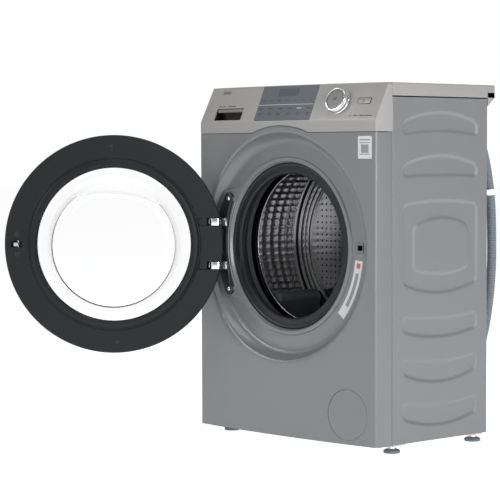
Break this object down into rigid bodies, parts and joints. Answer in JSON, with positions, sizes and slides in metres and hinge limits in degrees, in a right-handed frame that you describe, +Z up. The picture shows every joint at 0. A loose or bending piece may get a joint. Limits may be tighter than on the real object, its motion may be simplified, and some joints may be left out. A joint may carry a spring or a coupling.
{
  "type": "front load washing machine",
  "caption": "Slim front loading washing machine with a bowed front, round porthole door open on its left hinge, slide-out detergent drawer and rotary selector.",
  "frame": {"origin": "on the floor, under the middle of the cabinet's width and half way between the foremost line of the front and the rear edge of the side panels", "axes": "+Z up, the front with the door faces -Y, +X to the right as seen from the front"},
  "size_m": [0.8624, 0.8572, 0.85],
  "materials": {
    "painted_grey": "satin",
    "console_grey": "satin",
    "touch_grey": "gloss",
    "door_dark": "satin",
    "door_cover": "satin",
    "clear_glass": "polished",
    "chrome_trim": "polished",
    "zinc_steel": "satin",
    "stainless": "polished",
    "gasket_rubber": "satin",
    "black_plastic": "matte",
    "white_plastic": "satin",
    "tub_plastic": "matte",
    "concrete": "matte",
    "cast_alloy": "matte",
    "hose_rubber": "matte",
    "board_case": "matte",
    "knob_grey": "satin",
    "bracket_steel": "satin"
  },
  "bodies": {
    "cabinet": {"left_side_panel": "painted_grey", "right_side_panel": "painted_grey", "base_tray": "zinc_steel", "foot_locknuts": "zinc_steel", "rear_panel": "zinc_steel", "rear_service_cover": "black_plastic", "mains_inlet": "black_plastic", "inlet_valve": "white_plastic", "front_panel": "painted_grey", "top_crossbars": "zinc_steel", "worktop": "console_grey", "console_fascia": "console_grey", "touch_panel": "touch_grey", "control_board": "board_case", "dispenser_housing": "white_plastic", "drain_pump": "black_plastic", "drain_hose": "hose_rubber", "hose_clips": "white_plastic", "rubber_hoses": "gasket_rubber", "hinge_bracket": "bracket_steel", "hinge_arms": "chrome_trim", "case_screws": "zinc_steel", "door_lock": "black_plastic", "damper_bodies": "tub_plastic", "suspension_springs": "zinc_steel", "door_gasket": "gasket_rubber"},
    "tub": {"tub_rear": "tub_plastic", "tub_front": "tub_plastic", "tub_bolts": "zinc_steel", "front_counterweight": "concrete", "top_counterweight": "concrete", "drum_bearings": "zinc_steel", "heater_element": "zinc_steel", "motor_stator": "cast_alloy", "damper_rods": "zinc_steel", "drive_belt": "gasket_rubber"},
    "drum": {"drum_shell": "stainless", "drum_back": "stainless", "drum_lifters": "board_case", "drum_spider": "cast_alloy", "drum_shaft": "zinc_steel", "drum_pulley": "cast_alloy"},
    "rotor": {"motor_rotor": "zinc_steel"},
    "door": {"door_inner_ring": "door_dark", "door_outer_ring": "door_cover", "door_glass": "clear_glass", "hinge_pins": "zinc_steel"},
    "latch": {"latch_hook": "zinc_steel"},
    "drawer": {"drawer_front": "console_grey", "drawer_tray": "white_plastic", "siphon_cap": "board_case"},
    "selector": {"selector_ring": "chrome_trim"},
    "start_key": {"start_button": "knob_grey"},
    "power_key": {"power_button": "console_grey"},
    "flap": {"service_flap": "painted_grey"},
    "filter": {"pump_filter": "white_plastic"},
    "foot_front_left": {"level_foot_front_left": "board_case"},
    "foot_front_right": {"level_foot_front_right": "board_case"},
    "foot_rear_left": {"level_foot_rear_left": "board_case"},
    "foot_rear_right": {"level_foot_rear_right": "board_case"}
  },
  "joints": [
    {"name": "door_hinge", "type": "hinge", "parent": "cabinet", "child": "door", "pos_m": [-0.235, -0.207, 0.47], "axis": [0, 0, 1], "range_deg": [0, 130]},
    {"name": "latch_tilt", "type": "hinge", "parent": "door", "child": "latch", "pos_m": [-0.53199, -0.56872, 0.472], "axis": [0, 0, 1], "range_deg": [0, 8], "stiffness_Nm_per_rad": 1.2},
    {"name": "drawer_slide", "type": "slide", "parent": "cabinet", "child": "drawer", "axis": [0, -1, 0], "range_m": [0, 0.19]},
    {"name": "selector_turn", "type": "hinge", "parent": "cabinet", "child": "selector", "pos_m": [0.174, -0.17569, 0.807], "axis": [0.054, -0.9154, 0.3989], "continuous": true},
    {"name": "start_press", "type": "slide", "parent": "cabinet", "child": "start_key", "axis": [-0.054, 0.9154, -0.3989], "range_m": [0, 0.0015], "stiffness_N_per_m": 600, "springref_m": -0.002},
    {"name": "power_press", "type": "slide", "parent": "cabinet", "child": "power_key", "axis": [-0.0765, 0.9141, -0.3983], "range_m": [0, 0.001], "stiffness_N_per_m": 600, "springref_m": -0.002},
    {"name": "tub_bounce", "type": "slide", "parent": "cabinet", "child": "tub", "axis": [0, 0, 1], "range_m": [-0.008, 0.008], "stiffness_N_per_m": 9000, "springref_m": 0.0292, "deforming": ["suspension_springs", "door_gasket", "rubber_hoses"]},
    {"name": "drum_spin", "type": "hinge", "parent": "tub", "child": "drum", "pos_m": [0, 0, 0.47], "axis": [0, 1, 0], "continuous": true},
    {"name": "rotor_spin", "type": "hinge", "parent": "tub", "child": "rotor", "pos_m": [-0.01, 0.1, 0.118], "axis": [0, 1, 0], "continuous": true},
    {"name": "flap_hinge", "type": "hinge", "parent": "cabinet", "child": "flap", "pos_m": [0.147, -0.18984, 0.09], "axis": [0, 0, -1], "range_deg": [0, 90]},
    {"name": "filter_turn", "type": "hinge", "parent": "cabinet", "child": "filter", "pos_m": [0.215, -0.15, 0.09], "axis": [0, -1, 0], "range_deg": [0, 360]},
    {"name": "foot_front_left_level", "type": "slide", "parent": "cabinet", "child": "foot_front_left", "axis": [0, 0, -1], "range_m": [0, 0.012]},
    {"name": "foot_front_right_level", "type": "slide", "parent": "cabinet", "child": "foot_front_right", "axis": [0, 0, -1], "range_m": [0, 0.012]},
    {"name": "foot_rear_left_level", "type": "slide", "parent": "cabinet", "child": "foot_rear_left", "axis": [0, 0, -1], "range_m": [0, 0.012]},
    {"name": "foot_rear_right_level", "type": "slide", "parent": "cabinet", "child": "foot_rear_right", "axis": [0, 0, -1], "range_m": [0, 0.012]}
  ],
  "couplings": [
    {"joint": "rotor_spin", "follows": "drum_spin", "ratio": 11.818}
  ]
}
